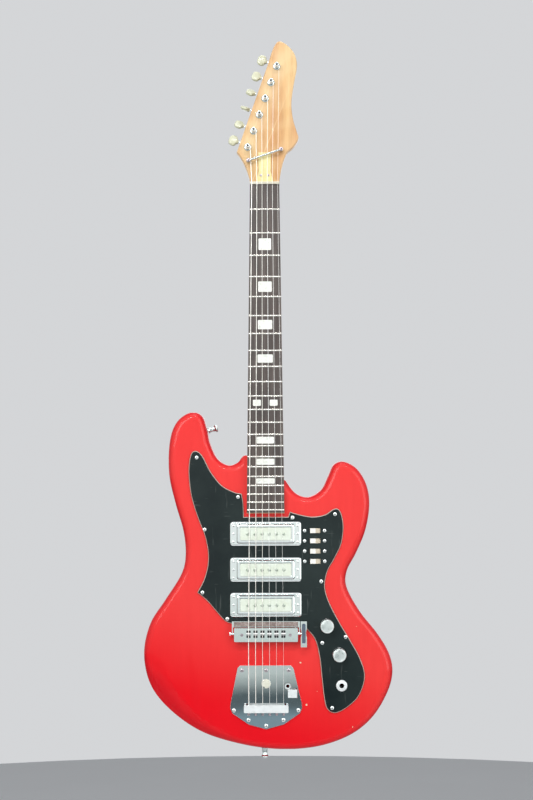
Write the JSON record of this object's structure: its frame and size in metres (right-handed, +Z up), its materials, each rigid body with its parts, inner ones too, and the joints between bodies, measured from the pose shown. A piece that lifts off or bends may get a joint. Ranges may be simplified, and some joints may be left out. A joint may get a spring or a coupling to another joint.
{
  "type": "electric guitar",
  "caption": "Solid-body electric guitar with offset horns, bolt-on neck, three pickups, rocker switches, muting bridge and vibrato tailpiece.",
  "frame": {"origin": "centre line of the neck where the fingerboard meets the nut, at the fingerboard's face; a wall or stand yoke cradles the neck there", "axes": "+Z up the neck towards the headstock, -Y the side the strings face, +X the treble side"},
  "size_m": [0.342, 0.0595, 0.9984],
  "materials": {
    "red_lacquer": "gloss red lacquer over solid wood, with small chips",
    "maple": "satin aged maple",
    "rosewood": "open-grained dark wood, oiled",
    "fret_wire": "polished nickel silver, lightly worn",
    "pearl": "pearloid plastic",
    "bone_white": "satin white",
    "steel": "plain steel",
    "cover_cream": "aged cream plastic",
    "screw_steel": "polished screw heads",
    "chrome": "polished chrome plate with fine pitting",
    "button_cream": "aged cream plastic button on a steel worm shaft",
    "string_steel": "plain and wound steel strings",
    "guard_black": "gloss black plastic with a pale core line at its edge",
    "insert_cream": "cream plastic",
    "coil_brown": "taped copper coil",
    "pole_steel": "dulled steel pole screws",
    "housing_grey": "moulded plastic",
    "rocker_white": "white plastic",
    "knob_metal": "turned aluminium, knurled side",
    "wire_cloth": "insulated lead",
    "mute_foam": "worn felt strip",
    "bar_nickel": "bright plated steel"
  },
  "bodies": {
    "guitar": {"body": "red_lacquer", "neck": "maple", "fingerboard": "rosewood", "frets": "fret_wire", "inlays": "pearl", "nut": "bone_white", "truss_rod": "steel", "truss_rod_cover": "cover_cream", "headstock_screws": "screw_steel", "string_retainer": "chrome", "tuner_strip": "chrome", "tuner_screws": "screw_steel", "post_bushings": "chrome", "strings": "string_steel", "pickguard": "guard_black", "pickguard_screws": "screw_steel", "pickup_rings": "chrome", "pickup_covers": "chrome", "pickup_inserts": "insert_cream", "pickup_coils": "coil_brown", "pole_screws": "pole_steel", "ring_screws": "screw_steel", "switch_housings": "housing_grey", "switch_screws": "screw_steel", "potentiometers": "steel", "output_jack": "chrome", "wiring": "wire_cloth", "bridge_base": "chrome", "bridge_posts": "steel", "saddles": "steel", "vibrato_plate": "chrome", "vibrato_screws": "screw_steel", "vibrato_axle": "steel", "vibrato_springs": "steel", "neck_plate": "chrome", "neck_screws": "screw_steel", "strap_buttons": "chrome", "strap_screws": "screw_steel"},
    "key_1": {"tuner_key_1": "button_cream"},
    "key_2": {"tuner_key_2": "button_cream"},
    "key_3": {"tuner_key_3": "button_cream"},
    "key_4": {"tuner_key_4": "button_cream"},
    "key_5": {"tuner_key_5": "button_cream"},
    "key_6": {"tuner_key_6": "button_cream"},
    "post_1": {"tuner_post_1": "chrome"},
    "post_2": {"tuner_post_2": "chrome"},
    "post_3": {"tuner_post_3": "chrome"},
    "post_4": {"tuner_post_4": "chrome"},
    "post_5": {"tuner_post_5": "chrome"},
    "post_6": {"tuner_post_6": "chrome"},
    "volume": {"volume_knob": "knob_metal"},
    "tone": {"tone_knob": "knob_metal"},
    "switch_1": {"rocker_1": "rocker_white"},
    "switch_2": {"rocker_2": "rocker_white"},
    "switch_3": {"rocker_3": "rocker_white"},
    "switch_4": {"rocker_4": "rocker_white"},
    "mute": {"mute_lever": "chrome", "mute_pad": "mute_foam"},
    "vibrato": {"string_bar": "bar_nickel"}
  },
  "joints": [
    {"name": "key_1_turn", "type": "hinge", "parent": "guitar", "child": "key_1", "pos_m": [-0.02139, 0.024, 0.05974], "axis": [-0.9421, 0, 0.3355], "continuous": true},
    {"name": "key_2_turn", "type": "hinge", "parent": "guitar", "child": "key_2", "pos_m": [-0.0132, 0.024, 0.08272], "axis": [-0.9421, 0, 0.3355], "continuous": true},
    {"name": "key_3_turn", "type": "hinge", "parent": "guitar", "child": "key_3", "pos_m": [-0.00502, 0.024, 0.10571], "axis": [-0.9421, 0, 0.3355], "continuous": true},
    {"name": "key_4_turn", "type": "hinge", "parent": "guitar", "child": "key_4", "pos_m": [0.00317, 0.024, 0.12869], "axis": [-0.9421, 0, 0.3355], "continuous": true},
    {"name": "key_5_turn", "type": "hinge", "parent": "guitar", "child": "key_5", "pos_m": [0.01135, 0.024, 0.15168], "axis": [-0.9421, 0, 0.3355], "continuous": true},
    {"name": "key_6_turn", "type": "hinge", "parent": "guitar", "child": "key_6", "pos_m": [0.01954, 0.024, 0.17467], "axis": [-0.9421, 0, 0.3355], "continuous": true},
    {"name": "post_1_turn", "type": "hinge", "parent": "guitar", "child": "post_1", "pos_m": [-0.0235, 0, 0.0538], "axis": [0, 1, 0], "continuous": true},
    {"name": "post_2_turn", "type": "hinge", "parent": "guitar", "child": "post_2", "pos_m": [-0.01532, 0, 0.07679], "axis": [0, 1, 0], "continuous": true},
    {"name": "post_3_turn", "type": "hinge", "parent": "guitar", "child": "post_3", "pos_m": [-0.00713, 0, 0.09977], "axis": [0, 1, 0], "continuous": true},
    {"name": "post_4_turn", "type": "hinge", "parent": "guitar", "child": "post_4", "pos_m": [0.00106, 0, 0.12276], "axis": [0, 1, 0], "continuous": true},
    {"name": "post_5_turn", "type": "hinge", "parent": "guitar", "child": "post_5", "pos_m": [0.00924, 0, 0.14574], "axis": [0, 1, 0], "continuous": true},
    {"name": "post_6_turn", "type": "hinge", "parent": "guitar", "child": "post_6", "pos_m": [0.01743, 0, 0.16873], "axis": [0, 1, 0], "continuous": true},
    {"name": "volume_turn", "type": "hinge", "parent": "guitar", "child": "volume", "pos_m": [0.0833, 0, -0.6105], "axis": [0, 1, 0], "range_deg": [-150, 150]},
    {"name": "tone_turn", "type": "hinge", "parent": "guitar", "child": "tone", "pos_m": [0.0999, 0, -0.6493], "axis": [0, 1, 0], "range_deg": [-150, 150]},
    {"name": "switch_1_tilt", "type": "hinge", "parent": "guitar", "child": "switch_1", "pos_m": [0.0675, 0.0105, -0.481], "axis": [0, 0, -1], "range_deg": [0, 24]},
    {"name": "switch_2_tilt", "type": "hinge", "parent": "guitar", "child": "switch_2", "pos_m": [0.0675, 0.0105, -0.495], "axis": [0, 0, -1], "range_deg": [0, 24]},
    {"name": "switch_3_tilt", "type": "hinge", "parent": "guitar", "child": "switch_3", "pos_m": [0.0675, 0.0105, -0.509], "axis": [0, 0, -1], "range_deg": [0, 24]},
    {"name": "switch_4_tilt", "type": "hinge", "parent": "guitar", "child": "switch_4", "pos_m": [0.0675, 0.0105, -0.523], "axis": [0, 0, -1], "range_deg": [0, 24]},
    {"name": "mute_swing", "type": "hinge", "parent": "guitar", "child": "mute", "pos_m": [0, 0.0024, -0.621], "axis": [1, 0, 0], "range_deg": [0, 9]},
    {"name": "vibrato_rock", "type": "hinge", "parent": "guitar", "child": "vibrato", "pos_m": [0, 0.014, -0.729], "axis": [-1, 0, 0], "range_deg": [-3, 5], "stiffness_Nm_per_rad": 1.5, "deforming": ["strings", "vibrato_springs"]}
  ],
  "couplings": [
    {"joint": "post_1_turn", "follows": "key_1_turn", "ratio": 0.071429},
    {"joint": "post_2_turn", "follows": "key_2_turn", "ratio": 0.071429},
    {"joint": "post_3_turn", "follows": "key_3_turn", "ratio": 0.071429},
    {"joint": "post_4_turn", "follows": "key_4_turn", "ratio": 0.071429},
    {"joint": "post_5_turn", "follows": "key_5_turn", "ratio": 0.071429},
    {"joint": "post_6_turn", "follows": "key_6_turn", "ratio": 0.071429}
  ]
}
